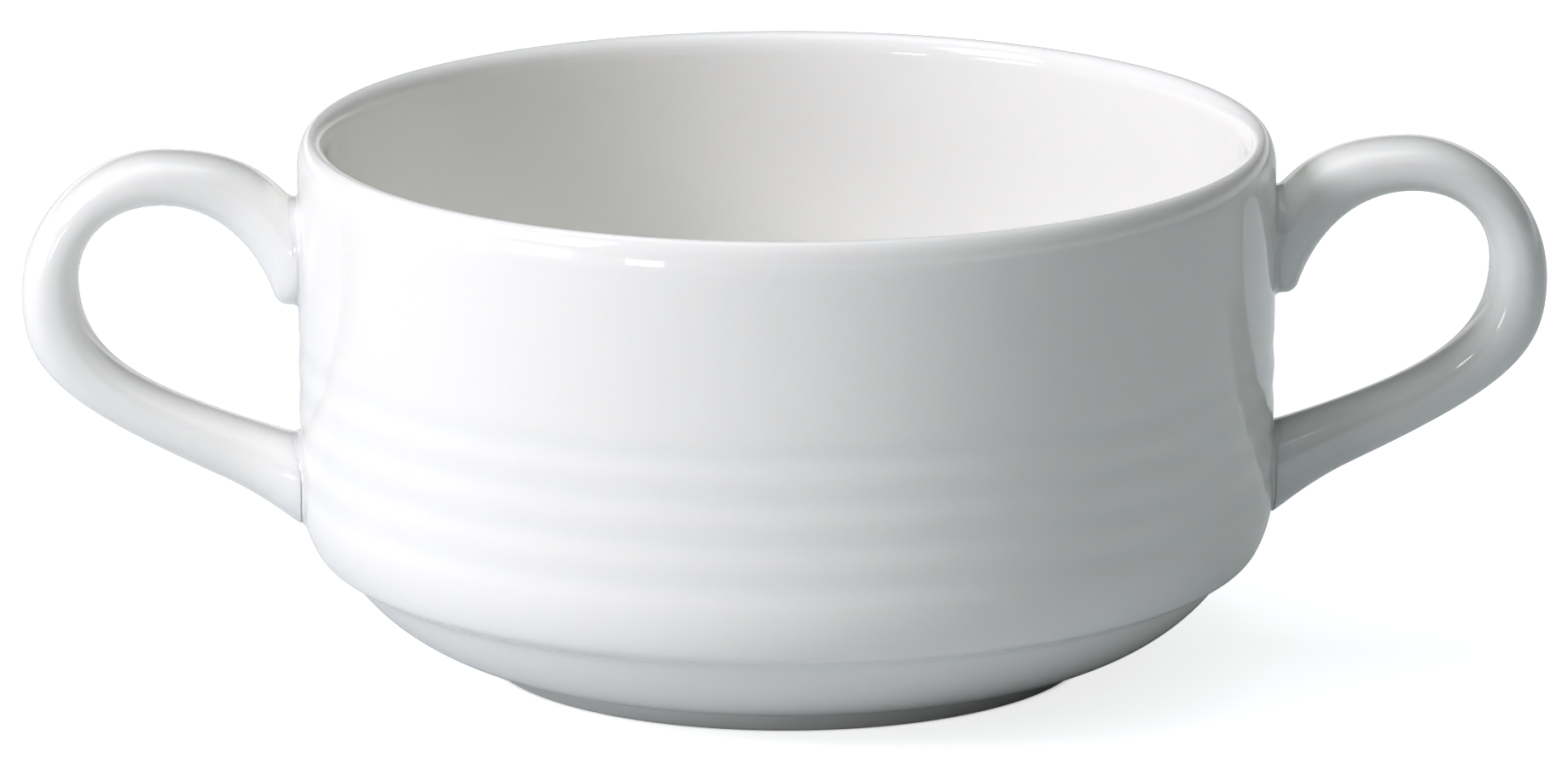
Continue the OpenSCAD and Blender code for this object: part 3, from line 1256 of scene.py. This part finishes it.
@dataclass
class Studio:
    """Pale floor, soft light and the camera of the photograph.

    Places are in metres, the sky's and the backdrop's bounds are rises of the direction, from 0
    level to 1 straight up, and the lens and its sensor are in millimetres.
    """

    aim: tuple[float, float, float] = (-0.00027, 0.0, 0.030)
    distance: float = 1.25
    azimuth: float = -3.0
    elevation: float = 14.0
    lens: float = 269.0
    sensor: float = 36.0
    floor_size: float = 8.0
    floor_colour: Colour = (0.66, 0.70, 0.71)
    seen_glow: Glow = Glow(0.80, 31.0, 32.8)
    mirrored_glow: Glow = Glow(0.16, 30.0, 80.0)
    sky_low: float = 0.0
    sky_high: float = 0.84
    sky_focus: float = 4.0
    backdrop_top: tuple[float, float] = (0.05, 0.22)
    sky_colour: Colour = (0.88, 0.97, 1.0)
    backdrop_colour: Colour = (1.0, 1.0, 1.0)
    lamps: tuple[Lamp, ...] = (
        Lamp("key_left", (-1.13, -0.58, 0.87), 0.6, 17.0, KEY_COLOUR),
        Lamp("key_low_left", (-1.14, -0.62, 0.12), 0.4, 1.8, KEY_COLOUR),
        Lamp("fill_overhead", (-0.12, 0.10, 0.90), 0.6, 1.5, (1.0, 0.99, 0.96)),
        Lamp("fill_low_left", (-0.65, -0.93, 0.10), 0.17, 0.8),
    )

    def build(self) -> None:
        """Sets up the whole studio."""
        self.lay_floor()
        self.hang_sky()
        for lamp in self.lamps:
            self.hang_lamp(lamp)
        self.set_camera()
        bpy.context.scene.view_settings.view_transform = "Standard"

    def lay_floor(self) -> None:
        """Lays a pale floor that shows as white and keeps the bowl's soft shadow."""
        Bench.clear()
        bpy.ops.mesh.primitive_plane_add(size=self.floor_size)
        floor = Bench.name("studio_floor")
        sheet = NodeSheet.material("studio_floor")
        matt = sheet.node("BsdfDiffuse", Color=opaque(self.floor_colour)).outputs[0]
        glow = sheet.node("Emission", Strength=self.glow(sheet)).outputs[0]
        both = sheet.node("AddShader", terms=(matt, glow)).outputs[0]
        seen = sheet.node("MixShader", terms=(self.seen_ray(sheet), matt, both)).outputs[0]
        sheet.node("OutputMaterial", Surface=seen)
        floor.data.materials.append(sheet.owner)

    def glow(self, sheet: NodeSheet) -> Socket:
        """Strength of the floor's glow, which fades out under the bowl.

        The camera sees the fade as a contact shadow close to the foot ring, and the glaze
        mirrors a floor that darkens over the whole breadth of the bowl. The mirrored glow is the
        weaker one, since the floor's own light comes on top of it and isn't clipped at white.

        Args:
            sheet: The floor's node sheet.

        Returns:
            The strength.
        """
        away = sheet.node("VectorMath", {"operation": "LENGTH"}, (sheet.place,)).outputs["Value"]
        seen, mirrored = (
            sheet.ramp(away, (part.dark * MM, part.full * MM), (0.0, part.strength), "SMOOTHSTEP")
            for part in (self.seen_glow, self.mirrored_glow)
        )
        camera = sheet.node("LightPath").outputs["Is Camera Ray"]
        return sheet.node("Mix", Factor=camera, A=mirrored, B=seen).outputs[0]

    @staticmethod
    def seen_ray(sheet: NodeSheet) -> Socket:
        """Which rays show the background.

        Args:
            sheet: The floor's or the world's node sheet.

        Returns:
            1 for rays from the camera, in gloss or through glass, and 0 for all others.
        """
        rays = sheet.node("LightPath").outputs
        kinds = ("Is Camera Ray", "Is Glossy Ray", "Is Transmission Ray")
        return sheet.highest([rays[kind] for kind in kinds])

    def hang_sky(self) -> None:
        """Surrounds the bowl with a white backdrop and soft light that gathers overhead."""
        world = bpy.data.worlds.new("studio")
        bpy.context.scene.world = world
        sheet = NodeSheet(world)
        direction = sheet.node("TexCoord").outputs["Generated"]
        rise = sheet.node("SeparateXYZ", Vector=direction).outputs["Z"]
        overhead = sheet.node("Math", {"operation": "POWER", "use_clamp": True},
                              (rise, self.sky_focus)).outputs[0]
        strength = sheet.ramp(overhead, (0.0, 1.0), (self.sky_low, self.sky_high))
        soft = sheet.node("Background", Color=opaque(self.sky_colour), Strength=strength)
        white = sheet.node("Background", Color=opaque(self.backdrop_colour))
        backdrop = sheet.ramp(rise, self.backdrop_top, (1.0, 0.0), "SMOOTHSTEP")
        seen = sheet.maths("MULTIPLY", self.seen_ray(sheet), backdrop)
        mix = sheet.node("MixShader", terms=(seen, soft.outputs[0], white.outputs[0]))
        sheet.node("OutputWorld", Surface=mix.outputs[0])

    def hang_lamp(self, lamp: Lamp) -> None:
        """Hangs a soft box and turns it to the bowl.

        Args:
            lamp: The soft box.
        """
        Bench.clear()
        bpy.ops.object.light_add(type="AREA", location=lamp.place)
        light = bpy.context.object
        light.name = lamp.name
        light.data.shape = "SQUARE"
        light.data.size = lamp.size
        light.data.energy = lamp.power
        light.data.color = lamp.colour
        aim = Vector(self.aim) - Vector(lamp.place)
        light.rotation_euler = aim.to_track_quat("-Z", "Y").to_euler()

    def set_camera(self) -> None:
        """Puts the camera where the photograph was taken from."""
        turn = math.radians(self.azimuth)
        rise = math.radians(self.elevation)
        toward_camera = Vector((math.sin(turn) * math.cos(rise), -math.cos(turn) * math.cos(rise),
                                math.sin(rise)))
        Bench.clear()
        bpy.ops.object.camera_add(location=Vector(self.aim) + toward_camera * self.distance)
        camera = bpy.context.object
        camera.name = "photo_camera"
        camera.data.sensor_width = self.sensor
        camera.data.lens = self.lens
        camera.rotation_euler = (-toward_camera).to_track_quat("-Z", "Y").to_euler()
        bpy.context.scene.camera = camera


def report(pieces: list[bpy.types.Object]) -> None:
    """Logs each finished piece."""
    for piece in pieces:
        LOG.info("%s: %d faces", piece.name, len(piece.data.polygons))


def main() -> None:
    """Loads the frame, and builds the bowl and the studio."""
    logging.basicConfig(level=logging.INFO, format="%(name)s %(message)s")
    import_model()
    studio = Studio()
    studio.build()
    bowl = BowlShape()
    handle = HandleShape(bowl)
    report([BowlBody(bowl).build()])
    report(list(LoopHandle(handle).build().values()))
    slip_glaze = GlazeFinish("slip_glaze", wave_size=7.0).material()
    for root in Root:
        report(list(SlipJoint(handle, root, slip_glaze).build().values()))


if __name__ == "__main__":
    main()
